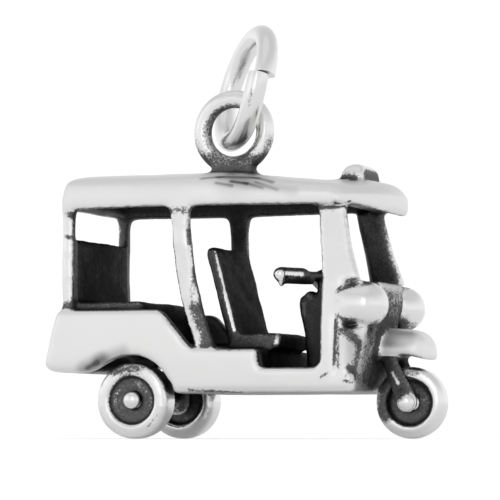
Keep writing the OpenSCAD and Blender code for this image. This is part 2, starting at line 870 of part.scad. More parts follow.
module bar_half() {
    bar_l = bar_half_l - grip_d / 2;
    lever_l = bar_half_l - 0.35;
    lever_x = 0.1;
    translate([bar_x, 0, bar_z]) rotate([0, 0, bar_sweep]) rotate([-90, 0, 0]) {
        cylinder(h = bar_l, d = bar_d);
        translate([0, 0, bar_half_l - grip_l]) cylinder(h = bar_l + grip_l - bar_half_l, d = grip_d);
        translate([0, 0, bar_l]) sphere(d = grip_d);
        translate([lever_x, grip_d / 2, column_w]) cylinder(h = lever_l - column_w, d = lever_d);
        translate([lever_x, grip_d / 2 - lever_d / 2, lever_l]) rotate([-90, 0, 0])
            cylinder(h = 0.44, d = lever_d * 1.2);
    }
}

// Hanger plates under the wheel wells, with bosses that space the wheels
module axle_hangers() {
    boss_to = rear_wheel_in + inner_dish_depth - side_clearance / 2;
    color("dimgray") both_sides() difference() {
        union() {
            along_y(hanger_out - hanger_t, hanger_out) {
                translate([rear_axle_x, rear_axle_z]) circle(hanger_eye_r);
                translate([rear_axle_x - hanger_eye_r, rear_axle_z])
                    square([2 * hanger_eye_r, well_z - rear_axle_z]);
            }
            cross_bar(rear_axle_x, rear_axle_z, hanger_out - hanger_t, boss_to, head_d + soft_r);
        }
        cross_bar(rear_axle_x, rear_axle_z, 0, panel_out, axle_d + 2 * seat_clearance);
    }
}

module rear_axle() {
    head_from = rear_wheel_out - dish_depth + side_clearance / 2;
    color("silver") {
        cross_bar(rear_axle_x, rear_axle_z, -head_from - slice, head_from + slice, axle_d);
        both_sides() cross_bar(rear_axle_x, rear_axle_z, head_from, head_from + rear_head_t, head_d);
    }
}

// Fork: a crown on the nose and two legs with eyes for the axle
module fork() {
    crown_low_z = mudguard_z - fork_crown_t;
    crown_x = nose_x(mudguard_z);
    leg_x = fork_eye_r * 0.88;
    leg_z = fork_eye_r * 0.48;
    color("dimgray") difference() {
        union() {
            along_y(-fork_out, fork_out) polygon([
                [nose_x(crown_low_z), crown_low_z],
                [crown_x + fork_crown_l, crown_low_z],
                [crown_x + fork_crown_l, mudguard_z],
                [crown_x, mudguard_z]
            ]);
            both_sides() along_y(fork_in, fork_out) {
                translate([front_axle_x, front_axle_z]) circle(fork_eye_r);
                polygon([
                    [front_axle_x - leg_x, front_axle_z - leg_z],
                    [front_axle_x + leg_x, front_axle_z + leg_z],
                    [crown_x + fork_crown_l, mudguard_z - fork_crown_t / 2],
                    [crown_x + fork_crown_t / 3, mudguard_z - fork_crown_t / 2]
                ]);
            }
        }
        cross_bar(front_axle_x, front_axle_z, -panel_out, panel_out, axle_d + 2 * seat_clearance);
    }
}

module front_axle() {
    color("silver") {
        cross_bar(front_axle_x, front_axle_z, -fork_out - slice, fork_out + slice, axle_d);
        both_sides() cross_bar(front_axle_x, front_axle_z, fork_out, fork_out + front_head_t, head_d);
    }
}

// Domed mudguard over the front wheel
module mudguard() {
    tip_x = front_x - 0.42;
    top_z = mudguard_z + mudguard_h;
    half_w = mudguard_w / 2;
    dome_z = top_z - half_w;
    color("silver") intersection() {
        along_y(-half_w, half_w) rounded_outline([
            [nose_x(mudguard_z), mudguard_z, 0],
            [front_axle_x, mudguard_z, 1],
            [tip_x - 0.15, mudguard_z - 0.32, 0.1],
            [tip_x, mudguard_z + 0.1, 0.5],
            [tip_x - 0.75, top_z - 0.15, 0.9],
            [nose_x(top_z), top_z, 0]
        ]);
        along_z(mudguard_z - past, top_z + past) rounded_outline([
            [post_front_x, -half_w, 0],
            [tip_x - 0.5, -half_w, 0.9],
            [tip_x, 0, 1.2],
            [tip_x - 0.5, half_w, 0.9],
            [post_front_x, half_w, 0]
        ]);
        along_x(post_front_x, front_x) {
            translate([0, dome_z]) circle(half_w);
            translate([-half_w, dome_z - past]) square([mudguard_w, past]);
        }
    }
}

// Foot of the loop in plan
module loop_plan(margin) {
    half = foot_w / 2 - loop_foot_r;
    r = loop_foot_r + margin;
    for (side = [-1, 1]) translate([loop_x + side * half, 0]) circle(r);
    translate([loop_x - half, -r]) square([2 * half, 2 * r]);
}

// Loop on the roof: a wire ring on a waisted foot
module loop() {
    foot_top_z = loop_z - loop_d / 2 + 0.1;
    color("silver") {
        translate([loop_x, 0, loop_z]) rotate([90, 0, 0]) rotate_extrude()
            translate([loop_d / 2, 0]) circle(d = loop_t);
        intersection() {
            along_z(loop_seat_z, foot_top_z) loop_plan(0);
            along_y(-loop_t, loop_t) difference() {
                translate([loop_x - foot_w / 2, loop_seat_z]) square([foot_w, foot_top_z - loop_seat_z]);
                for (side = [-1, 1]) translate([loop_x + side * (neck_w / 2 + flare_r), crown_z]) {
                    translate([0, flare_r]) circle(flare_r);
                    translate([-flare_r, flare_r]) square([2 * flare_r, past]);
                }
            }
        }
    }
}

// Wheel about Y, from its inner face at 0 to its outer face at its width
module wheel(d, w, dish_d, inner_depth, outer_depth) {
    bore_r = axle_d / 2 + bore_clearance;
    dish_r = dish_d / 2 - 0.1;
    dish_edge_r = dish_d / 2;
    color("silver") rotate([-90, 0, 0]) rotate_extrude() difference() {
        rounded_outline([
            [bore_r, inner_depth, 0],
            [dish_r, inner_depth, 0.12],
            [dish_edge_r, 0, 0.08],
            [d / 2, 0, tyre_edge_r],
            [d / 2, w, tyre_edge_r],
            [dish_edge_r, w, 0.1],
            [dish_r, w - outer_depth, 0.12],
            [bore_r, w - outer_depth, 0]
        ]);
        for (face = [0, w]) translate([d / 2 - tyre_groove_in, face]) circle(tyre_groove_r);
    }
}

module rear_wheel_left() {
    translate([rear_axle_x, rear_wheel_in, rear_axle_z])
        wheel(rear_wheel_d, rear_wheel_w, rear_dish_d, inner_dish_depth, dish_depth);
}

module rear_wheel_right() {
    right_hand() rear_wheel_left();
}

module front_wheel() {
    translate([front_axle_x, -front_wheel_w / 2, front_axle_z])
        wheel(front_wheel_d, front_wheel_w, front_dish_d, dish_depth, dish_depth);
}

// Open ring of round wire, standing in the loop
module ring() {
    ring_r = ring_d / 2;
    color("silver") translate(ring_pass) rotate([0, 0, ring_turn]) rotate([0, ring_lean, 0])
        translate([0, 0, ring_r]) difference() {
            rotate([0, 90, 0]) rotate_extrude() translate([ring_r, 0]) circle(d = wire_d);
            rotate([-ring_cut_angle, 0, 0]) translate([-wire_d, -ring_d, -ring_cut / 2])
                cube([2 * wire_d, ring_d, ring_cut]);
        }
}

side_panel_left();
side_panel_right();
rear_panel();
floor_pan();
nose();
headlamp_left();
headlamp_right();
roof();
roof_sign();
rear_pillar_left();
rear_pillar_right();
mid_pillar_left();
mid_pillar_right();
front_pillar_left();
front_pillar_right();
bench();
bench_back();
seat_box();
driver_seat();
steering_column();
handlebar();
axle_hangers();
rear_axle();
fork();
front_axle();
mudguard();
loop();
rear_wheel_left();
rear_wheel_right();
front_wheel();
ring();
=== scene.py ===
# %% [markdown]
# # A silver three-wheeler charm
# The object is a charm as long as a fingertip: a three-wheeled taxi cast in silver, dipped in a
# darkening bath and then polished, so the metal is bright where a buffing wheel reached and stays
# dark in every hollow. The solid model comes in as a fixed frame. Each solid is turned into a soft
# casting, and one rule, how open a spot is to the buffing wheel, decides where it shines.

# %% Load the solids
import json
import math

import bmesh
import bpy
import numpy as np
from mathutils import Matrix, Vector


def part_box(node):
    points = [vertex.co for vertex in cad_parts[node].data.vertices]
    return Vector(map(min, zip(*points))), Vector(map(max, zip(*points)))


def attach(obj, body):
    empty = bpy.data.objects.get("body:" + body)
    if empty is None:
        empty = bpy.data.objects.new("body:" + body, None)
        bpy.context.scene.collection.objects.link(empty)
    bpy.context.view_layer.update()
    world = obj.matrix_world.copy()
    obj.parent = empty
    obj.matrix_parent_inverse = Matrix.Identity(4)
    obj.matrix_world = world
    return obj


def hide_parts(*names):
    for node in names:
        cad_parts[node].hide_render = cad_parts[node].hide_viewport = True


MM = 0.001
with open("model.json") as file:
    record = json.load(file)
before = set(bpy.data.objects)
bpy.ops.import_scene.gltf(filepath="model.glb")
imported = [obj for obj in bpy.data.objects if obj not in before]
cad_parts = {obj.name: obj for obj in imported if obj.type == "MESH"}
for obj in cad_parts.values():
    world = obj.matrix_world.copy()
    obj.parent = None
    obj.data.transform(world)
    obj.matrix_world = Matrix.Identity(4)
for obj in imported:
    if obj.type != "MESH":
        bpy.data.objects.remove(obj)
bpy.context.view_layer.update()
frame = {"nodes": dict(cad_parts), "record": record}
scene = bpy.context.scene
bodies = frame["record"]["behaviour"]["bodies"]
body_of_node = {n: b for b, names in bodies.items() for n in names}
print("solids:", len(frame["nodes"]), "bodies:", list(bodies))

# %% [markdown]
# ## Camera
# The charm is seen from its right front, by a lens at the height of the table it stands on, so the
# view goes slightly up into the open cabin. The long lens keeps the uprights upright.

# %% Camera
AIM = Vector((-0.36, 0, 9.34)) * MM
AZIMUTH = math.radians(19.5)
DISTANCE = 150 * MM
EYE_Z = 0.3 * MM
FRAME_W = 24.75 * MM

camera_data = bpy.data.cameras.new("camera")
camera = bpy.data.objects.new("camera", camera_data)
scene.collection.objects.link(camera)
back = Vector((math.sin(AZIMUTH), -math.cos(AZIMUTH), 0))
camera.location = (*(AIM.xy + back.xy * DISTANCE), EYE_Z)
camera.rotation_euler = (AIM - camera.location).to_track_quat("-Z", "Y").to_euler()
camera_data.lens = camera_data.sensor_width * DISTANCE / FRAME_W
camera_data.clip_start, camera_data.clip_end = 1 * MM, 4
scene.camera = camera
print("lens", round(camera_data.lens, 1), "mm, from", [round(c / MM, 1) for c in camera.location])

# %% [markdown]
# ## Light tent
# Polished silver has no colour of its own: it shows the room. Jewellery is photographed in a white
# tent, so the world is white all round. Only in reflections, two parts of it are darker: the opening
# for the lens, which draws a soft grey line down round wires, and the ceiling, which keeps the roof
# and the tops of the lamps from burning out. It could be a real room of white boards. A world shader
# gives the same reflections, and casts no shadows of its own. A few helpers come first, because every
# material and every tree below is put together from the same small nodes.

# %% Node helpers
def node(tree, kind, **settings):
    made = tree.nodes.new(kind)
    for name, value in settings.items():
        setattr(made, name, value)
    return made


def math_node(tree, operation, a, b=None, c=None, vector=False):
    made = node(tree, "ShaderNodeVectorMath" if vector else "ShaderNodeMath", operation=operation)
    for target, value in zip(made.inputs, (a, b, c)):
        if isinstance(value, bpy.types.NodeSocket):
            tree.links.new(value, target)
        elif value is not None:
            target.default_value = value
    return made.outputs["Value"] if vector and operation == "DOT_PRODUCT" else made.outputs[0]


def smooth_range(tree, value, low, high, to_low=0.0, to_high=1.0):
    made = node(tree, "ShaderNodeMapRange", interpolation_type="SMOOTHSTEP")
    tree.links.new(value, made.inputs["Value"])
    for name, edge in (("From Min", low), ("From Max", high), ("To Min", to_low), ("To Max", to_high)):
        if isinstance(edge, bpy.types.NodeSocket):
            tree.links.new(edge, made.inputs[name])
        else:
            made.inputs[name].default_value = edge
    return made.outputs["Result"]


print("node helpers: node, math_node, smooth_range")

# %% World
TENT = 1.04
LENS_GREY = 0.95
LENS_EDGE = 0.90, 0.99
LENS_RISE = 0.05
CEILING = 0.68
CEILING_EDGE = 0.1, 0.8
DIFFUSE_LEVEL = 0.8

scene.view_settings.view_transform = "Standard"
world = bpy.data.worlds.new("light_tent")
scene.world = world
world.use_nodes = True
tent = world.node_tree
tent.nodes.clear()
direction = node(tent, "ShaderNodeTexCoord").outputs["Generated"]
toward_lens = math_node(tent, "DOT_PRODUCT", direction, (*back.xy, LENS_RISE), vector=True)
wall = smooth_range(tent, toward_lens, *LENS_EDGE, TENT, LENS_GREY)
height = math_node(tent, "DOT_PRODUCT", direction, (0, 0, 1), vector=True)
wall = math_node(tent, "MULTIPLY", wall, smooth_range(tent, height, *CEILING_EDGE, 1.0, CEILING))
ray = node(tent, "ShaderNodeLightPath").outputs
seen = math_node(tent, "MAXIMUM", ray["Is Camera Ray"], wall)
paper = node(tent, "ShaderNodeBackground")
tent.links.new(seen, paper.inputs["Color"])
glow = node(tent, "ShaderNodeBackground")
glow.inputs["Color"].default_value = (DIFFUSE_LEVEL,) * 3 + (1,)
shown = math_node(tent, "MAXIMUM", ray["Is Camera Ray"], ray["Is Glossy Ray"])
shown = math_node(tent, "MAXIMUM", shown, ray["Is Transmission Ray"])
either = node(tent, "ShaderNodeMixShader")
for value, target in zip((shown, glow.outputs[0], paper.outputs[0]), either.inputs):
    tent.links.new(value, target)
tent.links.new(either.outputs[0], node(tent, "ShaderNodeOutputWorld").inputs[0])
print("tent wall", TENT, "lens opening", LENS_GREY, "ceiling", CEILING)

# %% [markdown]
# Two wide softboxes give the rounded edges a gentle highlight and the charm a faint shadow on the
# white paper that it stands on. A tall narrow one beside the lens leaves an upright oval of light
# on each round lamp. The paper is a plain square. It glows a little for the lens and in mirrored
# views, so that it comes out white there and still takes the shadow.

# %% Softboxes
SOFTBOXES = [
    # name, place, width and height in metres, watts
    ("softbox_top", (-0.05, -0.08, 0.34), 0.34, 0.34, 0.035),
    ("softbox_left", (-0.30, -0.22, 0.16), 0.26, 0.26, 0.03),
    ("softbox_front", (0.03, -0.32, 0.09), 0.12, 0.24, 0.035),
]


def softbox(name, place, width, height, watts):
    data = bpy.data.lights.new(name, "AREA")
    data.shape, data.size, data.size_y, data.energy = "ELLIPSE", width, height, watts
    made = bpy.data.objects.new(name, data)
    made.location = place
    made.rotation_euler = (AIM - Vector(place)).to_track_quat("-Z", "Y").to_euler()
    scene.collection.objects.link(made)


for box in SOFTBOXES:
    softbox(*box)
print("softboxes:", len(SOFTBOXES))

# %% Paper
PAPER_LIFT, MIRRORED_LIFT = 0.30, 0.14
PAPER_WHITE = 0.9
PAPER_HALF = 1
floor_mesh = bpy.data.meshes.new("floor")
corners = [(x * PAPER_HALF, y * PAPER_HALF, 0) for x, y in ((-1, -1), (1, -1), (1, 1), (-1, 1))]
floor_mesh.from_pydata(corners, [], [(0, 1, 2, 3)])
floor = bpy.data.objects.new("floor", floor_mesh)
scene.collection.objects.link(floor)
floor_mat = bpy.data.materials.new("white_paper")
floor_mat.use_nodes = True
sheet = floor_mat.node_tree
floor_shader = sheet.nodes["Principled BSDF"]
floor_shader.inputs["Base Color"].default_value = (PAPER_WHITE,) * 3 + (1,)
floor_shader.inputs["Roughness"].default_value = 0.9
floor_shader.inputs["Emission Color"].default_value = (1, 1, 1, 1)
ray = node(sheet, "ShaderNodeLightPath").outputs
lift = math_node(sheet, "MULTIPLY", ray["Is Camera Ray"], PAPER_LIFT)
for kind in ("Is Glossy Ray", "Is Transmission Ray"):
    lift = math_node(sheet, "MULTIPLY_ADD", ray[kind], MIRRORED_LIFT, lift)
sheet.links.new(lift, floor_shader.inputs["Emission Strength"])
floor_mesh.materials.append(floor_mat)
print("paper:", 2 * PAPER_HALF, "m square")

# %% [markdown]
# ## The patina
# After the darkening bath the whole charm is black. Buffing brings the silver back wherever a cloth
# wheel reaches. Three values are kept on every point of every piece: how open the point is, how
# much it stands out as an edge, and how stained it is. Besides oxide left on purpose, the stain
# value also carries painted shade and painted highlights from some of the strokes below. The shader
# group adds them up and mixes in a little noise, so that the border between bright and dark is
# mottled as on real cast metal. Clean open metal gets no noise. The group gives three masks. Shine
# says where the silver is back, Thinness how thin the dark film is where it isn't, and Grain is the
# fine pitting of the casting. A painted texture could do this too, but values on the points follow
# each piece by themselves.

# %% Patina group
def new_group(name, inputs, outputs):
    group = bpy.data.node_groups.new(name, "ShaderNodeTree")
    for label, value, low, high in inputs:
        made = group.interface.new_socket(label, in_out="INPUT", socket_type="NodeSocketFloat")
        made.default_value, made.min_value, made.max_value = value, low, high
    for label in outputs:
        group.interface.new_socket(label, in_out="OUTPUT", socket_type="NodeSocketFloat")
    return group, group.nodes.new("NodeGroupInput"), group.nodes.new("NodeGroupOutput")


def attribute(tree, name):
    return node(tree, "ShaderNodeAttribute", attribute_name=name).outputs["Fac"]


def noise(tree, scale, detail, rough=0.55):
    made = node(tree, "ShaderNodeTexNoise")
    for name, value in (("Scale", scale), ("Detail", detail), ("Roughness", rough)):
        made.inputs[name].default_value = value
    tree.links.new(node(tree, "ShaderNodeTexCoord").outputs["Object"], made.inputs["Vector"])
    return made.outputs["Fac"]


BLOTCH_SCALE, SPECK_SCALE, GRAIN_SCALE = 900, 9000, 7000
SPECK_SHARE = 2.2
CLEAN_LEVEL = 0.84, 0.98
FILM_DEPTH = 0.62

patina, p_in, p_out = new_group(
    "patina",
    [("Reach", 0.77, 0, 2), ("Softness", 0.11, 0.01, 1), ("Edge Rub", 0.5, 0, 4), ("Mottle", 0.24, 0, 1)],
    ["Shine", "Thinness", "Grain"],
)
given = p_in.outputs
blotches = math_node(patina, "SUBTRACT", noise(patina, BLOTCH_SCALE, 4, 0.62), 0.5)
specks = math_node(patina, "SUBTRACT", noise(patina, SPECK_SCALE, 3, 0.7), 0.5)
mottle = math_node(patina, "MULTIPLY_ADD", specks, SPECK_SHARE, blotches)
level = attribute(patina, "openness")
level = math_node(patina, "MULTIPLY_ADD", attribute(patina, "crest"), given["Edge Rub"], level)
# The stain value holds oxide left on purpose, and also painted shade and painted highlights from some
# strokes.
level = math_node(patina, "SUBTRACT", level, attribute(patina, "stain"))
unclean = smooth_range(patina, level, *CLEAN_LEVEL, 1.0, 0.0)
unclean = math_node(patina, "MULTIPLY", unclean, given["Mottle"])
level = math_node(patina, "MULTIPLY_ADD", mottle, unclean, level)
low_edge = math_node(patina, "SUBTRACT", given["Reach"], given["Softness"])
high_edge = math_node(patina, "ADD", given["Reach"], given["Softness"])
patina.links.new(smooth_range(patina, level, low_edge, high_edge), p_out.inputs["Shine"])
film = smooth_range(patina, level, math_node(patina, "SUBTRACT", given["Reach"], FILM_DEPTH), low_edge)
patina.links.new(film, p_out.inputs["Thinness"])
patina.links.new(noise(patina, GRAIN_SCALE, 4, 0.65), p_out.inputs["Grain"])
print("patina group:", len(patina.nodes), "nodes")

# %% [markdown]
# ## Silver
# One alloy in two states. Polished silver is bright, with a faint satin from the cloth. Oxidised
# silver is nearly black, rougher and full of fine pits. Every piece holds both states, and the
# patina says how much of each shows. Bright metal can also carry a smudge, a thin grey film with
# soft borders, which is partly tarnish and partly painted shade and painted dark reflection. The
# pieces that were left mostly dark mirror less at a grazing angle than the others.

# %% Silver materials
BRIGHT = (0.80, 0.80, 0.797)
OXIDE_DEEP, OXIDE_THIN = (0.038, 0.038, 0.0385), (0.20, 0.20, 0.202)
# The smudge grey stands partly for tarnish and partly for painted shade and a painted dark reflection.
SMUDGE_AND_SHADE_GREY = (0.10, 0.10, 0.101)
OXIDE_ROUGHNESS = 0.5
PIT_LEVEL = 1.15
PIT_STRENGTH = 0.3
PIT_DEPTH = 0.03 * MM


def colour_mix(tree, factor, a, b):
    made = node(tree, "ShaderNodeMix", data_type="RGBA")
    tree.links.new(factor, made.inputs["Factor"])
    for value, target in zip((a, b), [t for t in made.inputs if t.enabled and t.name in "AB"]):
        if isinstance(value, bpy.types.NodeSocket):
            tree.links.new(value, target)
        else:
            target.default_value = value
    return next(t for t in made.outputs if t.enabled)


def silver(name, mottle, edge_tint):
    mat = bpy.data.materials.new(name)
    mat.use_nodes = True
    tree = mat.node_tree
    shader = tree.nodes["Principled BSDF"]
    shader.inputs["Metallic"].default_value = 1.0
    shader.inputs["Specular Tint"].default_value = (edge_tint,) * 3 + (1,)
    rub = node(tree, "ShaderNodeGroup", node_tree=patina)
    rub.inputs["Mottle"].default_value = mottle
    shine, grain = rub.outputs["Shine"], rub.outputs["Grain"]
    film = math_node(tree, "MULTIPLY", rub.outputs["Thinness"], grain)
    oxide = colour_mix(tree, film, (*OXIDE_DEEP, 1), (*OXIDE_THIN, 1))
    # Bright silver takes the smudge grey here: partly tarnish, partly painted shade and painted
    # reflection.
    bright = colour_mix(tree, attribute(tree, "smudge"), (*BRIGHT, 1), (*SMUDGE_AND_SHADE_GREY, 1))
    tree.links.new(colour_mix(tree, shine, oxide, bright), shader.inputs["Base Color"])
    gloss = node(tree, "ShaderNodeMapRange")
    gloss.inputs["To Min"].default_value = OXIDE_ROUGHNESS
    tree.links.new(attribute(tree, "satin"), gloss.inputs["To Max"])
    tree.links.new(shine, gloss.inputs["Value"])
    tree.links.new(gloss.outputs["Result"], shader.inputs["Roughness"])
    pits = math_node(tree, "MULTIPLY", grain, math_node(tree, "SUBTRACT", PIT_LEVEL, shine))
    bump = node(tree, "ShaderNodeBump")
    bump.inputs["Strength"].default_value = PIT_STRENGTH
    bump.inputs["Distance"].default_value = PIT_DEPTH
    tree.links.new(pits, bump.inputs["Height"])
    tree.links.new(bump.outputs["Normal"], shader.inputs["Normal"])
    return mat


finish = {
    "polished_silver": silver("polished_silver", mottle=0.30, edge_tint=1.0),
    "oxidised_silver": silver("oxidised_silver", mottle=0.36, edge_tint=0.35),
}
slot_of = {p["node"]: p["material_slot"] for p in frame["record"]["subparts"]}
print("materials:", list(finish))

# %% [markdown]
# ## How each piece was cast and cleaned
# A lost-wax casting has no knife edges: wax, plaster and an hour in a tumbler soften everything.
# The table says, for each kind of piece, how far its edges are rounded, how uneven the wax was,
# how much of the dark bath was left on it on purpose, and how satin the cloth left its bright parts.

# %% Casting table
SHELL = dict(soft=0.75, wobble=0.05, dark=0.0, satin=0.38)
TOP = dict(soft=1.0, wobble=0.06, dark=0.0, satin=0.46)
TRIM = dict(soft=0.35, wobble=0.05, dark=0.0, satin=0.22)
LAMP = dict(soft=0.35, wobble=0.05, dark=0.0, satin=0.24)
POST = dict(soft=0.5, wobble=0.16, dark=0.0, satin=0.26)
CABIN = dict(soft=0.5, wobble=0.18, dark=0.08, satin=0.28)
DEEP = dict(soft=0.4, wobble=0.08, dark=0.14, satin=0.26)
CAST = {
    "side_panel_left": SHELL, "side_panel_right": SHELL, "rear_panel": SHELL, "roof": TOP,
    "roof_sign": TRIM, "headlamp_left": LAMP, "headlamp_right": LAMP,
    "mudguard": dict(TRIM, satin=0.42),
    "rear_pillar_left": POST, "rear_pillar_right": POST, "mid_pillar_left": POST,
    "mid_pillar_right": POST, "front_pillar_left": SHELL, "front_pillar_right": SHELL,
    "handlebar": TRIM, "rear_axle": TRIM, "front_axle": TRIM, "loop": TRIM,
    "rear_wheel_left": TRIM, "rear_wheel_right": TRIM, "front_wheel": TRIM,
    "floor_pan": dict(SHELL, dark=0.1), "nose": dict(SHELL, dark=0.10), "bench": CABIN,
    "bench_back": CABIN, "seat_box": CABIN, "driver_seat": CABIN, "steering_column": CABIN,
    "axle_hangers": DEEP, "fork": DEEP,
}
print("cast pieces:", len(CAST))

# %% [markdown]
# ## One skin for each body
# The charm's pieces were soldered and then cast as one, so no joint line shows. To get that, all
# the solids of a body are first remeshed together into one skin of even voxels. A Geometry Nodes
# tree blurs the skin's positions, adds a little unevenness, and keeps three values on its points.
# The nodes work in millimetres, because a voxel below a tenth of a millimetre is under the remesh
# tool's smallest size in metres. The helpers for such trees come first.

# %% Geometry helpers
def tree_inputs(tree, **kinds):
    """Add inputs to a tree, and give the identifier that a modifier needs for each."""
    made = {}
    for name, kind in kinds.items():
        socket = tree.interface.new_socket(name, in_out="INPUT", socket_type=f"NodeSocket{kind}")
        made[name] = socket.identifier
    return made


def new_geometry_tree(name):
    tree = bpy.data.node_groups.new(name, "GeometryNodeTree")
    tree.interface.new_socket("Geometry", in_out="OUTPUT", socket_type="NodeSocketGeometry")
    tree.interface.new_socket("Geometry", in_out="INPUT", socket_type="NodeSocketGeometry")
    return tree


def named(tree, name, kind="FLOAT"):
    made = node(tree, "GeometryNodeInputNamedAttribute", data_type=kind)
    made.inputs["Name"].default_value = name
    return next(s for s in made.outputs if s.enabled)


def keep(tree, geometry, name, value, kind="FLOAT"):
    made = node(tree, "GeometryNodeStoreNamedAttribute", data_type=kind, domain="POINT")
    made.inputs["Name"].default_value = name
    tree.links.new(geometry, made.inputs["Geometry"])
    tree.links.new(value, next(s for s in made.inputs if s.name == "Value" and s.enabled))
    return made.outputs[0]


def nearest(tree, mesh, value, kind="FLOAT"):
    made = node(tree, "GeometryNodeSampleNearestSurface", data_type=kind)
    tree.links.new(mesh, made.inputs["Mesh"])
    tree.links.new(value, next(s for s in made.inputs if s.name == "Value" and s.enabled))
    return next(s for s in made.outputs if s.name == "Value" and s.enabled)


def blurred(tree, value, rounds, weight=None, kind="FLOAT_VECTOR"):
    made = node(tree, "GeometryNodeBlurAttribute", data_type=kind)
    tree.links.new(value, next(s for s in made.inputs if s.enabled))
    made.inputs["Iterations"].default_value = rounds
    if weight is not None:
        tree.links.new(weight, made.inputs["Weight"])
    return next(s for s in made.outputs if s.enabled)


def moved(tree, geometry, position=None, offset=None):
    made = node(tree, "GeometryNodeSetPosition")
    tree.links.new(geometry, made.inputs["Geometry"])
    if position is not None:
        tree.links.new(position, made.inputs["Position"])
    if offset is not None:
        tree.links.new(offset, made.inputs["Offset"])
    return made.outputs[0]


def scaled(tree, vector, factor):
    made = node(tree, "ShaderNodeVectorMath", operation="SCALE")
    tree.links.new(vector, made.inputs[0])
    if isinstance(factor, bpy.types.NodeSocket):
        tree.links.new(factor, made.inputs["Scale"])
    else:
        made.inputs["Scale"].default_value = factor
    return made.outputs[0]


def finished(tree, geometry, material, out):
    """Close a tree: real meshes, their material, and smooth shading."""
    joined = node(tree, "GeometryNodeRealizeInstances")
    coat = node(tree, "GeometryNodeSetMaterial")
    smooth = node(tree, "GeometryNodeSetShadeSmooth")
    tree.links.new(geometry, joined.inputs[0])
    tree.links.new(joined.outputs[0], coat.inputs["Geometry"])
    tree.links.new(material, coat.inputs["Material"])
    tree.links.new(coat.outputs[0], smooth.inputs["Geometry"])
    tree.links.new(smooth.outputs[0], out.inputs[0])


print("geometry helpers: named, keep, nearest, blurred, moved, scaled, finished")

# %% Skin tree: shape
ROUNDS, ROOF_ROUNDS = 18, 70
CROWN_EDGE = 0.9, 1.6
ROOF_SOFT = 0.8, 0.98
RIPPLE_SCALE = 0.55
CREST_ROUNDS, CREST_GAIN = 7, 12.0
DARK_ROUNDS = 5

skin = new_geometry_tree("skin")
SKIN = tree_inputs(skin, Solids="Object")
s_in, s_out = skin.nodes.new("NodeGroupInput"), skin.nodes.new("NodeGroupOutput")
solids = node(skin, "GeometryNodeObjectInfo")
skin.links.new(s_in.outputs["Solids"], solids.inputs["Object"])
solids = solids.outputs["Geometry"]
place = node(skin, "GeometryNodeInputPosition").outputs[0]
facing = node(skin, "GeometryNodeInputNormal").outputs[0]

shape = s_in.outputs["Geometry"]
for name in ("soft", "wobble", "dark"):
    shape = keep(skin, shape, name, nearest(skin, solids, named(skin, name)))
shape = moved(skin, shape, blurred(skin, place, ROUNDS, named(skin, "soft")))
split = node(skin, "ShaderNodeSeparateXYZ")
skin.links.new(place, split.inputs[0])
rim_z = min(corner.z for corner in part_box("roof")) / MM
upper = smooth_range(skin, split.outputs["Z"], *(rim_z + edge for edge in CROWN_EDGE))
only_roof = smooth_range(skin, named(skin, "soft"), *ROOF_SOFT)
crown = math_node(skin, "MULTIPLY", upper, only_roof)
shape = moved(skin, shape, blurred(skin, place, ROOF_ROUNDS, crown))
ripple = node(skin, "ShaderNodeTexNoise")
ripple.inputs["Scale"].default_value = RIPPLE_SCALE
skin.links.new(place, ripple.inputs["Vector"])
uneven = math_node(skin, "SUBTRACT", ripple.outputs["Fac"], 0.5)
push = math_node(skin, "MULTIPLY", uneven, named(skin, "wobble"))
shape = moved(skin, shape, offset=scaled(skin, facing, push))
bulge = math_node(skin, "SUBTRACT", place, blurred(skin, place, CREST_ROUNDS), vector=True)
crest = math_node(skin, "DOT_PRODUCT", bulge, facing, vector=True)
shape = keep(skin, shape, "crest", math_node(skin, "MULTIPLY", crest, CREST_GAIN))
shape = keep(skin, shape, "dark", blurred(skin, named(skin, "dark"), DARK_ROUNDS, kind="FLOAT"))
print("skin tree:", len(skin.nodes), "nodes for the shape")

# %% [markdown]
# How open a point is decides where the buffing wheel gets to. A repeat zone shoots one ray a turn
# from every point. The rays are spread over the sphere on a golden-angle spiral, and one that
# points into the metal is turned round, so that each point looks over its own half of the room.
# The share of rays that meet no metal is kept as the value that the patina reads.

# %% Skin tree: openness
RAYS = 64
RAY_LIFT, RAY_REACH = 0.15, 40
OPEN_ROUNDS = 3

first, last = node(skin, "GeometryNodeRepeatInput"), node(skin, "GeometryNodeRepeatOutput")
first.pair_with_output(last)
first.inputs["Iterations"].default_value = RAYS
skin.links.new(shape, first.inputs["Geometry"])
count = first.outputs["Iteration"]
turn = math_node(skin, "MULTIPLY", count, math.pi * (3 - math.sqrt(5)))
rise = math_node(skin, "MULTIPLY_ADD", count, -2.0 / RAYS, 1.0 - 1.0 / RAYS)
flat = math_node(skin, "SQRT", math_node(skin, "SUBTRACT", 1.0, math_node(skin, "MULTIPLY", rise, rise)))
spoke = node(skin, "ShaderNodeCombineXYZ")
skin.links.new(math_node(skin, "MULTIPLY", flat, math_node(skin, "COSINE", turn)), spoke.inputs["X"])
skin.links.new(math_node(skin, "MULTIPLY", flat, math_node(skin, "SINE", turn)), spoke.inputs["Y"])
skin.links.new(rise, spoke.inputs["Z"])
side = math_node(skin, "SIGN", math_node(skin, "DOT_PRODUCT", spoke.outputs[0], facing, vector=True))
shot = node(skin, "GeometryNodeRaycast")
skin.links.new(shape, shot.inputs["Target Geometry"])
start = math_node(skin, "ADD", place, scaled(skin, facing, RAY_LIFT), vector=True)
skin.links.new(start, shot.inputs["Source Position"])
skin.links.new(scaled(skin, spoke.outputs[0], side), shot.inputs["Ray Direction"])
shot.inputs["Ray Length"].default_value = RAY_REACH
missed = math_node(skin, "SUBTRACT", 1.0, shot.outputs["Is Hit"])
share = math_node(skin, "MULTIPLY_ADD", missed, 1.0 / RAYS, named(skin, "openness"))
skin.links.new(keep(skin, first.outputs["Geometry"], "openness", share), last.inputs["Geometry"])
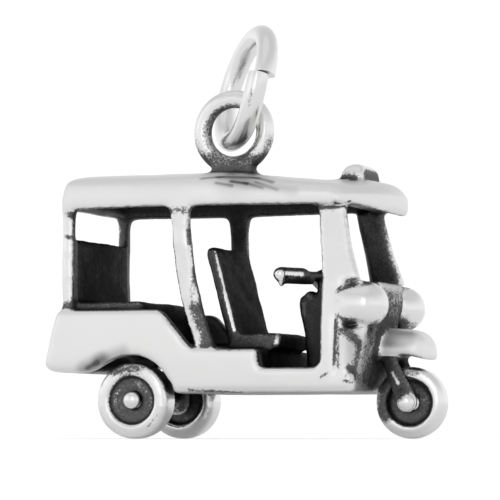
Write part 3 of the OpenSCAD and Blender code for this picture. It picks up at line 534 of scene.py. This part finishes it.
even = blurred(skin, named(skin, "openness"), OPEN_ROUNDS, kind="FLOAT")
shape = keep(skin, last.outputs["Geometry"], "openness", even)
skin.links.new(shape, s_out.inputs[0])
print("skin tree:", len(skin.nodes), "nodes,", RAYS, "rays a point")

# %% [markdown]
# The remesh closes narrow gaps by itself. At the foot of the groove behind each cheek, where side
# panel, nose and floor pan meet, it leaves a hole, so a bead of solder fills it, as a jeweller would.

# %% Make the skins
SKIN_VOXEL, WHEEL_VOXEL = 0.085, 0.06
SOLDER_BEAD = (5.35, 3.93, 2.97), 0.32
WELD_GAP = 1e-7


def scratch(name, names):
    """One object, in millimetres, with copies of some solids, their solder and their casting values."""
    joined = bmesh.new()
    layers = {k: joined.faces.layers.float.new(k) for k in ("soft", "wobble", "dark")}
    for n in names:
        begin = len(joined.faces)
        joined.from_mesh(frame["nodes"][n].data)
        if n.startswith("side_panel"):
            (x, y, z), radius = SOLDER_BEAD
            spot = Matrix.Translation(Vector((x, y if n.endswith("left") else -y, z)) * MM)
            bmesh.ops.create_icosphere(joined, subdivisions=3, radius=radius * MM, matrix=spot)
        joined.faces.ensure_lookup_table()
        for face in joined.faces[begin:]:
            for k, layer in layers.items():
                face[layer] = CAST[n][k]
    bmesh.ops.remove_doubles(joined, verts=joined.verts, dist=WELD_GAP)
    bmesh.ops.scale(joined, vec=(1 / MM,) * 3, verts=joined.verts)
    mesh = bpy.data.meshes.new(name)
    joined.to_mesh(mesh)
    joined.free()
    made = bpy.data.objects.new(name, mesh)
    scene.collection.objects.link(made)
    return made


def made_mesh(work, name):
    """The finished mesh of a scratch object, which is removed."""
    mesh = bpy.data.meshes.new_from_object(work.evaluated_get(bpy.context.evaluated_depsgraph_get()))
    mesh.name = name
    bpy.data.objects.remove(work)
    return mesh


def add_voxels(work, size):
    made = work.modifiers.new("voxels", "REMESH")
    made.mode, made.voxel_size = "VOXEL", size


def add_nodes(work, tree, values):
    made = work.modifiers.new(tree.name, "NODES")
    made.node_group = tree
    for identifier, value in values.items():
        made[identifier] = value


def body_skin(body, names, voxel):
    solid = scratch(f"scratch_{body}", names)
    work = scratch("scratch_work", names)
    add_voxels(work, voxel)
    add_nodes(work, skin, {SKIN["Solids"]: solid})
    mesh = made_mesh(work, f"skin_{body}")
    bpy.data.objects.remove(solid)
    made = bpy.data.objects.new(mesh.name, mesh)
    scene.collection.objects.link(made)
    return made


skins = {}
for body, names in bodies.items():
    if body != "ring":
        skins[body] = body_skin(body, names, SKIN_VOXEL if body == "body" else WHEEL_VOXEL)
print("skins:", {b: len(o.data.polygons) for b, o in skins.items()})

# %% [markdown]
# ## Pieces on the skin
# Each piece stays a closed piece of its own. It is remeshed alone, swells a little into the solder
# where it touches its neighbours, and then its outer points are drawn onto the common skin. So two
# pieces meet on one smooth surface, and their normals come from that surface too. The faces between
# two pieces, which never show, stay where the solid has them.

# %% Piece tree
PIECE_VOXEL = 0.09
SOLDER = 0.08
SOLDER_REACH = 0.02, 0.14
DRAW_GAP = 0.5, 0.9
DRAW_AGREE = 0.05, 0.45

wrap = new_geometry_tree("wrap")
WRAP = tree_inputs(wrap, Skin="Object", Neighbours="Object", Finish="Material")
w_in, w_out = wrap.nodes.new("NodeGroupInput"), wrap.nodes.new("NodeGroupOutput")
found = {}
for name in ("Skin", "Neighbours"):
    info = node(wrap, "GeometryNodeObjectInfo")
    wrap.links.new(w_in.outputs[name], info.inputs["Object"])
    found[name] = info.outputs["Geometry"]
place = node(wrap, "GeometryNodeInputPosition").outputs[0]
facing = node(wrap, "GeometryNodeInputNormal").outputs[0]
touch = node(wrap, "GeometryNodeProximity")
wrap.links.new(found["Neighbours"], touch.inputs[0])
swell = smooth_range(wrap, touch.outputs["Distance"], *SOLDER_REACH, SOLDER, 0.0)
shape = moved(wrap, w_in.outputs["Geometry"], offset=scaled(wrap, facing, swell))
skin_place = nearest(wrap, found["Skin"], place, "FLOAT_VECTOR")
skin_facing = nearest(wrap, found["Skin"], facing, "FLOAT_VECTOR")
gap = node(wrap, "ShaderNodeVectorMath", operation="DISTANCE")
wrap.links.new(place, gap.inputs[0])
wrap.links.new(skin_place, gap.inputs[1])
outer = smooth_range(wrap, gap.outputs["Value"], *DRAW_GAP, 1.0, 0.0)
same_way = math_node(wrap, "DOT_PRODUCT", facing, skin_facing, vector=True)
agree = smooth_range(wrap, same_way, *DRAW_AGREE)
drawn = math_node(wrap, "MULTIPLY", outer, agree)
for name in ("openness", "crest", "dark"):
    shape = keep(wrap, shape, name, nearest(wrap, found["Skin"], named(wrap, name)))
shape = keep(wrap, shape, "skin_facing", skin_facing, "FLOAT_VECTOR")
shape = keep(wrap, shape, "drawn", drawn)
target = node(wrap, "ShaderNodeMix", data_type="VECTOR")
wrap.links.new(named(wrap, "drawn"), target.inputs["Factor"])
a_socket, b_socket = [s for s in target.inputs if s.enabled and s.name in "AB"]
wrap.links.new(place, a_socket)
wrap.links.new(skin_place, b_socket)
shape = moved(wrap, shape, next(s for s in target.outputs if s.enabled))
finished(wrap, shape, w_in.outputs["Finish"], w_out)
print("wrap tree:", len(wrap.nodes), "nodes")

# %% Cast the pieces
def values_of(mesh, name, width=1):
    data = np.empty(len(mesh.vertices) * width, np.float32)
    mesh.attributes[name].data.foreach_get("value" if width == 1 else "vector", data)
    return data if width == 1 else data.reshape(-1, width)


def settle(mesh, name, node_name, body):
    """Bring a mesh back to metres and hand it to the frame."""
    mesh.transform(Matrix.Scale(MM, 4))
    piece = bpy.data.objects.new(name, mesh)
    scene.collection.objects.link(piece)
    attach(piece, body)
    if node_name:
        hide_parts(node_name)
    return piece


def cast(name):
    body = body_of_node[name]
    others = scratch("scratch_others", [n for n in bodies[body] if n != name])
    work = scratch("scratch_work", [name])
    add_voxels(work, PIECE_VOXEL if body == "body" else WHEEL_VOXEL)
    slot = slot_of[name]
    inputs = {"Skin": skins[body], "Neighbours": others, "Finish": finish[slot]}
    add_nodes(work, wrap, {WRAP[k]: value for k, value in inputs.items()})
    mesh = made_mesh(work, name + "_cast")
    bpy.data.objects.remove(others)
    normals = np.empty(len(mesh.vertices) * 3, np.float32)
    mesh.vertex_normals.foreach_get("vector", normals)
    normals = normals.reshape(-1, 3)
    on_skin = values_of(mesh, "drawn") > 0.5
    normals[on_skin] = values_of(mesh, "skin_facing", 3)[on_skin]
    mesh.normals_split_custom_set_from_vertices(normals)
    for spare in ("skin_facing", "drawn", "soft", "wobble"):
        if spare in mesh.attributes:
            mesh.attributes.remove(mesh.attributes[spare])
    return settle(mesh, name + "_cast", name, body)


pieces = {n: cast(n) for n in CAST}
for spare in skins.values():
    bpy.data.objects.remove(spare)
print("pieces:", len(pieces), "faces:", sum(len(p.data.polygons) for p in pieces.values()))

# %% [markdown]
# ## Rivet heads
# The axles end in domed heads, hammered over after the wheels were put on. The same dome stands at
# four places, so a small tree puts an instance on each point of a four-point mesh.

# %% Rivet tree
HEAD_FLATNESS = 0.62

rivets = new_geometry_tree("rivets")
RIVET = tree_inputs(rivets, Width="Float", Finish="Material")
r_in, r_out = rivets.nodes.new("NodeGroupInput"), rivets.nodes.new("NodeGroupOutput")
ball = node(rivets, "GeometryNodeMeshIcoSphere")
ball.inputs["Subdivisions"].default_value = 5
rivets.links.new(math_node(rivets, "MULTIPLY", r_in.outputs["Width"], 0.5), ball.inputs["Radius"])
squash = node(rivets, "GeometryNodeTransform")
squash.inputs["Scale"].default_value = (1, HEAD_FLATNESS, 1)
rivets.links.new(ball.outputs["Mesh"], squash.inputs["Geometry"])
spots = node(rivets, "GeometryNodeInstanceOnPoints")
rivets.links.new(r_in.outputs["Geometry"], spots.inputs["Points"])
rivets.links.new(squash.outputs[0], spots.inputs["Instance"])

finished(rivets, spots.outputs[0], r_in.outputs["Finish"], r_out)
print("rivet tree:", len(rivets.nodes), "nodes")

# %% Set the rivets
HEAD_W = 0.88
HEAD_INSET = {"rear_axle": 0.12, "front_axle": 0.0}


def seeded(name, points, tree, values):
    """A mesh that a tree grows from a few points, in millimetres."""
    seeds = bpy.data.meshes.new(name)
    seeds.from_pydata(points, [], [])
    work = bpy.data.objects.new(name, seeds)
    scene.collection.objects.link(work)
    add_nodes(work, tree, values)
    mesh = made_mesh(work, name)
    full = mesh.attributes.new("openness", "FLOAT", "POINT")
    full.data.foreach_set("value", [1.0] * len(mesh.vertices))
    return mesh


heads = []
for axle, inset in HEAD_INSET.items():
    low, high = (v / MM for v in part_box(axle))
    heads += [((low.x + high.x) / 2, y, (low.z + high.z) / 2) for y in (low.y + inset, high.y - inset)]
polished = finish["polished_silver"]
head_mesh = seeded("rivet_heads", heads, rivets, {RIVET["Width"]: HEAD_W, RIVET["Finish"]: polished})
pieces["rivet_heads"] = settle(head_mesh, "rivet_heads", None, "body")
print("rivet heads:", len(heads))

# %% [markdown]
# ## The ring
# A jump ring is round wire bent to a circle. Its ends were closed with pliers and don't quite meet:
# one stands a little to the side of the other. The solid gives the centre, the axis, the wire and
# the place of the cut; a tree then sweeps a round profile along an arc and steps one end aside.

# %% Measure the ring
FLAT_END = 0.98

solid = frame["nodes"]["ring"].data
ring_points = np.empty(len(solid.vertices) * 3, np.float32)
solid.vertices.foreach_get("co", ring_points)
ring_points = ring_points.reshape(-1, 3) / MM
low, high = ((v / MM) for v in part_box("ring"))
ring_centre = np.array((low + high) / 2)
ring_axis = np.linalg.svd(ring_points - ring_points.mean(0), full_matrices=False)[2][2]
wire_d = float(np.ptp((ring_points - ring_centre) @ ring_axis))
ring_r = float(np.linalg.norm(ring_points - ring_centre, axis=1).max()) - wire_d / 2
cut_faces = []
for face in solid.polygons:
    spoke = np.array(face.center) / MM - ring_centre
    tangent = np.cross(ring_axis, spoke)
    if abs(np.dot(np.array(face.normal), tangent / np.linalg.norm(tangent))) > FLAT_END:
        cut_faces.append(spoke)
to_cut = np.mean(cut_faces, axis=0)
to_cut /= np.linalg.norm(to_cut)
if np.cross(ring_axis, to_cut)[2] > 0:
    ring_axis = -ring_axis
print("ring radius", round(ring_r, 3), "wire", round(wire_d, 3), "faces at the cut", len(cut_faces))

# %% Ring tree
CUT = 0.09
END_STEP, STEP_SHARE = 0.30, 0.22
RING_STEPS, WIRE_SIDES = 220, 40

wire = new_geometry_tree("jump_ring")
WIRE = tree_inputs(wire, Radius="Float", Wire="Float", Cut="Float", Step="Float", Finish="Material")
j_in, j_out = wire.nodes.new("NodeGroupInput"), wire.nodes.new("NodeGroupOutput")
arc = node(wire, "GeometryNodeCurveArc")
arc.inputs["Resolution"].default_value = RING_STEPS
wire.links.new(j_in.outputs["Radius"], arc.inputs["Radius"])
opening = math_node(wire, "DIVIDE", j_in.outputs["Cut"], j_in.outputs["Radius"])
wire.links.new(math_node(wire, "MULTIPLY", opening, 0.5), arc.inputs["Start Angle"])
wire.links.new(math_node(wire, "SUBTRACT", 2 * math.pi, opening), arc.inputs["Sweep Angle"])
along = node(wire, "GeometryNodeSplineParameter").outputs["Factor"]
aside = node(wire, "ShaderNodeCombineXYZ")
bend = smooth_range(wire, along, 0.0, STEP_SHARE, 1.0, 0.0)
wire.links.new(math_node(wire, "MULTIPLY", bend, j_in.outputs["Step"]), aside.inputs["Z"])
path = moved(wire, arc.outputs["Curve"], offset=aside.outputs[0])
profile = node(wire, "GeometryNodeCurvePrimitiveCircle")
profile.inputs["Resolution"].default_value = WIRE_SIDES
wire.links.new(math_node(wire, "MULTIPLY", j_in.outputs["Wire"], 0.5), profile.inputs["Radius"])
sweep = node(wire, "GeometryNodeCurveToMesh")
sweep.inputs["Fill Caps"].default_value = True
wire.links.new(path, sweep.inputs["Curve"])
wire.links.new(profile.outputs["Curve"], sweep.inputs["Profile Curve"])
finished(wire, sweep.outputs[0], j_in.outputs["Finish"], j_out)
print("ring tree:", len(wire.nodes), "nodes")

# %% Bend the ring
SHARP_EDGE = math.radians(50)

step = -END_STEP if ring_axis[0] > 0 else END_STEP
inputs = {"Radius": ring_r, "Wire": wire_d, "Cut": CUT, "Step": step, "Finish": polished}
ring_mesh = seeded("ring_wire", [(0, 0, 0)], wire, {WIRE[k]: value for k, value in inputs.items()})
ring_mesh.set_sharp_from_angle(angle=SHARP_EDGE)
turned = np.stack((to_cut, np.cross(ring_axis, to_cut), ring_axis), axis=1)
ring_mesh.transform(Matrix.Translation(ring_centre.tolist()) @ Matrix(turned.tolist()).to_4x4())
pieces["ring"] = settle(ring_mesh, "ring_wire", "ring", "ring")
print("ring faces:", len(ring_mesh.polygons))

# %% [markdown]
# ## Stains, rubs and painted light
# The bath and the cloth leave marks that no rule gives: dark streaks round the loop's foot, a worn
# line on the seat. Each is a soft stroke from one point to another, with a radius. A stroke above
# zero darkens and one below zero brings the silver back. Some strokes are wholly or partly painted
# light: the one on the top of the rear tyre is painted shadow from the arch, those on the pillars
# and on the left of the front wheel are partly painted shade, the one behind the wheel arch is
# partly a painted dark reflection, and those on the grip and column are partly painted highlights.
# A second list holds the smudges, a soft grey film on bright metal, such as the one behind the
# wheel arch; they are partly tarnish and partly painted shade and painted reflection. Marks are
# written for the right side. The left side gets them too, except on the roof, where each stays
# where it is written.

# %% Strokes
STROKES = [
    # pieces, from, to, radius, amount: millimetres
    # Behind the wheel arch: partly oxide, partly a painted dark reflection in the hollow of the panel.
    (("side_panel",), (-7.4, -4.22, 3.45), (-6.75, -4.26, 3.75), 0.24, 0.26),
    (("side_panel", "nose"), (5.44, -4.17, 5.65), (5.33, -4.23, 3.4), 0.13, 0.36),
    (("side_panel", "nose"), (5.30, -4.22, 3.3), (4.7, -4.26, 2.93), 0.15, 0.34),
    (("side_panel", "nose"), (5.32, -4.2, 3.3), (5.28, -4.2, 3.1), 0.30, -0.35),
    (("floor_pan", "side_panel"), (-2.0, -4.15, 2.35), (0.6, -4.0, 2.25), 0.20, 0.28),
    # The pillar strokes below are partly oxide, partly painted shade on the pillars.
    (("mid_pillar",), (-1.05, -4.05, 4.6), (-1.75, -4.2, 6.3), 0.62, 0.36),
    (("mid_pillar",), (-1.85, -4.25, 6.9), (-1.75, -4.3, 8.2), 0.28, 0.22),
    (("mid_pillar",), (-2.15, -4.36, 10.9), (-1.98, -4.36, 9.4), 0.20, 0.28),
    (("mid_pillar",), (-2.9, -4.4, 11.1), (-2.2, -4.4, 11.1), 0.42, 0.34),
    (("rear_pillar",), (-8.9, -3.9, 6.4), (-8.3, -3.9, 6.5), 0.75, 0.34),
    (("rear_pillar",), (-8.62, -3.9, 9.95), (-8.45, -3.9, 9.9), 0.26, 0.42),
    (("rear_pillar",), (-8.5, -3.9, 11.1), (-8.3, -3.9, 11.0), 0.40, 0.35),
    (("front_pillar",), (4.3, -3.3, 11.2), (5.6, -3.3, 11.2), 0.30, 0.34),
    (("loop", "roof"), (-2.3, 0, 13.1), (-0.1, 0, 13.1), 0.75, 0.34),
    (("loop",), (-2.75, -0.3, 14.4), (-2.75, -0.3, 16.2), 0.80, -0.12),
    (("loop",), (0.35, -0.3, 14.4), (0.35, -0.3, 16.2), 0.90, -0.18),
    (("loop",), (-2.2, -0.3, 16.7), (-0.2, -0.3, 16.7), 0.70, -0.12),
    (("roof",), (-1.0, -0.6, 13.05), (-0.2, -3.6, 12.8), 0.70, 0.16),
    (("roof",), (0.1, -0.6, 13.05), (0.9, -3.4, 12.75), 0.60, 0.16),
    (("roof",), (-0.5, -3.9, 12.68), (1.0, -3.5, 12.64), 0.17, 0.32),
    (("roof",), (5.22, -3.5, 11.29), (5.91, -3.29, 11.39), 0.10, 0.50),
    (("roof",), (-7.0, -2.5, 11.2), (-4.0, -2.5, 11.2), 1.60, -0.28),
    (("roof",), (-7.0, 2.5, 11.2), (-4.0, 2.5, 11.2), 1.60, -0.28),
    (("roof_sign",), (5.98, -0.9, 12.8), (5.98, 0.9, 12.8), 0.65, 0.36),
    (("roof_sign",), (4.93, -1.57, 12.58), (5.5, -1.55, 12.58), 0.32, 0.42),
    (("headlamp", "nose", "side_panel"), (5.56, -4.08, 7.08), (6.17, -3.77, 7.36), 0.32, 0.20),
    (("headlamp", "nose"), (6.17, -3.77, 7.36), (6.9, -3.0, 7.6), 0.32, 0.16),
    (("headlamp", "nose", "side_panel"), (5.48, -4.19, 5.9), (6.1, -3.75, 5.4), 0.28, 0.18),
    (("headlamp", "nose"), (6.1, -3.7, 5.4), (7.2, -3.2, 5.4), 0.30, 0.20),
    (("headlamp", "nose", "front_pillar"), (5.8, -3.7, 7.55), (6.5, -3.4, 7.6), 0.50, -0.40),
    (("headlamp", "nose"), (5.9, -3.8, 5.4), (6.6, -3.6, 5.2), 0.45, -0.55),
    (("headlamp",), (6.5, -2.1, 6.9), (7.3, -2.4, 6.5), 0.95, -0.60),
    (("nose",), (6.0, -4.1, 5.1), (6.5, -3.85, 4.6), 0.45, 0.22),
    (("nose",), (5.75, -4.22, 5.15), (6.3, -4.08, 4.7), 0.36, 0.20),
    (("floor_pan",), (5.9, -4.24, 2.76), (6.25, -4.17, 2.70), 0.13, 0.46),
    (("nose",), (6.5, -3.8, 4.4), (6.35, -3.9, 3.2), 0.38, 0.26),
    (("nose",), (6.1, -4.2, 3.4), (6.3, -4.1, 3.3), 0.30, 0.40),
    (("nose",), (6.2, -4.12, 2.95), (6.2, -4.12, 2.85), 0.42, 0.45),
    (("nose",), (6.18, -4.12, 2.95), (6.16, -4.12, 2.88), 0.24, -0.80),
    (("ring",), (0.63, -2.49, 17.04), (0.43, -2.37, 16.27), 0.16, 0.24),
    (("ring",), (-2.1, -2.16, 17.89), (-1.34, -2.0, 18.91), 0.24, 0.24),
    (("mudguard",), (7.7, -0.6, 5.2), (7.2, -1.1, 4.5), 1.20, -0.70),
    (("mudguard",), (8.2, -0.9, 4.9), (9.0, -0.9, 4.6), 0.90, -0.40),
    (("fork",), (7.30, -1.02, 3.2), (7.6, -1.02, 2.65), 0.15, -0.70),
    (("fork",), (7.0, -1.02, 3.9), (8.0, -1.02, 1.75), 0.75, 0.24),
    (("rear_wheel",), (-5.1, -3.2, 1.87), (-5.1, -3.8, 1.87), 1.28, 0.50),
    # Painted shadow: the top of the tyre, where the wheel arch shades it.
    (("rear_wheel",), (-6.0, -4.0, 3.3), (-4.6, -4.0, 3.5), 0.65, 0.34),
    (("rear_wheel",), (-4.2, -4.0, 0.6), (-3.7, -4.0, 1.2), 0.12, 0.30),
    (("front_wheel",), (8.0, -0.4, 1.75), (8.0, 0, 1.75), 1.36, 0.41),
    # Partly oxide, partly painted shade from the fork over the left of the wheel.
    (("front_wheel",), (6.7, -0.6, 1.2), (7.0, -0.6, 3.0), 0.95, 0.46),
    (("front_wheel",), (7.2, -0.6, 3.1), (8.4, -0.6, 3.2), 0.40, 0.24),
    # The grip and column strokes bring the silver back: partly rubbed metal, partly painted highlights.
    (("handlebar",), (2.2, -3.2, 8.15), (2.9, -2.2, 8.15), 0.60, -0.60),
    (("steering_column",), (2.75, -0.44, 7.05), (2.95, -0.44, 6.95), 0.20, -0.45),
    (("steering_column",), (2.6, -0.45, 6.6), (2.62, -0.45, 6.0), 0.14, -0.40),
    (("driver_seat",), (-1.32, -2.42, 9.3), (-0.32, -2.42, 5.3), 0.13, -0.75),
    (("driver_seat",), (1.9, -2.4, 4.5), (1.95, -2.2, 5.0), 0.32, -0.50),
]
SMUDGES_AND_PAINTED_SHADE = [
    # pieces, from, to, radius, amount: millimetres
    # Behind the wheel arch: partly tarnish, partly a painted dark reflection in the hollow of the panel.
    (("side_panel",), (-7.5, -4.2, 3.4), (-6.5, -4.28, 3.85), 0.62, 0.55),
    (("side_panel",), (-6.7, -4.28, 3.85), (-5.4, -4.3, 4.25), 0.55, 0.30),
    (("side_panel",), (-7.3, -4.2, 3.45), (-6.8, -4.26, 3.7), 0.25, 0.40),
    # The roof and nose smudges are partly tarnish streaks, partly painted shade.
    (("roof",), (-1.6, 0, 13.1), (0.2, -3.8, 12.7), 1.60, 0.34),
    (("roof",), (-0.6, 0, 13.1), (1.2, -3.6, 12.6), 1.30, 0.22),
    (("roof",), (0.2, -4.0, 12.4), (3.2, -3.8, 11.9), 0.45, 0.20),
    (("roof",), (-1.35, -4.15, 12.58), (-0.5, -3.9, 12.67), 0.20, 0.60),
    (("roof",), (-0.5, -3.9, 12.68), (1.2, -3.5, 12.62), 0.38, 0.50),
    (("roof",), (1.0, -3.5, 12.62), (2.1, -3.72, 12.36), 0.20, 0.60),
    (("roof",), (-0.6, -4.25, 12.36), (0.2, -4.19, 12.2), 0.13, 0.55),
    (("roof",), (0.1, -4.08, 12.42), (0.9, -4.0, 12.28), 0.13, 0.60),
    (("roof",), (0.8, -4.02, 12.34), (1.7, -3.99, 12.07), 0.12, 0.45),
    (("roof",), (1.3, -3.9, 12.37), (2.4, -3.9, 11.97), 0.12, 0.40),
    (("nose",), (6.2, -4.1, 4.9), (6.4, -3.9, 3.0), 0.70, 0.35),
]
print("strokes:", len(STROKES), "smudges:", len(SMUDGES_AND_PAINTED_SHADE))

# %% Lay the strokes
def stroke(points, start, end, radius, amount):
    start, end = np.array(start), np.array(end)
    run = end - start
    along = np.clip(((points - start) @ run) / max(run @ run, 1e-9), 0, 1)
    away = np.linalg.norm(points - start - along[:, None] * run, axis=1)
    near = np.clip(1 - away / radius, 0, 1)
    return amount * near * near * (3 - 2 * near)


for name, piece in pieces.items():
    mesh = piece.data
    points = np.empty(len(mesh.vertices) * 3, np.float32)
    mesh.vertices.foreach_get("co", points)
    points = points.reshape(-1, 3) / MM
    if name != "roof":
        points[:, 1] = -np.abs(points[:, 1])
    # The stain value gathers oxide left on purpose and the strokes, some of which are painted shade and
    # painted highlights; the smudge value is partly tarnish, partly painted shade.
    stain = values_of(mesh, "dark").astype(float) if "dark" in mesh.attributes else np.zeros(len(points))
    smudge = np.zeros(len(points))
    for marks, total in ((STROKES, stain), (SMUDGES_AND_PAINTED_SHADE, smudge)):
        for kinds, start, end, radius, amount in marks:
            if name.startswith(kinds):
                total += stroke(points, start, end, radius, amount)
    satin = np.full(len(points), CAST.get(name, TRIM)["satin"])
    for label, values in (("stain", stain), ("smudge", smudge), ("satin", satin)):
        kept = mesh.attributes.new(label, "FLOAT", "POINT")
        kept.data.foreach_set("value", values.astype(np.float32))
print("marked pieces:", len(pieces))
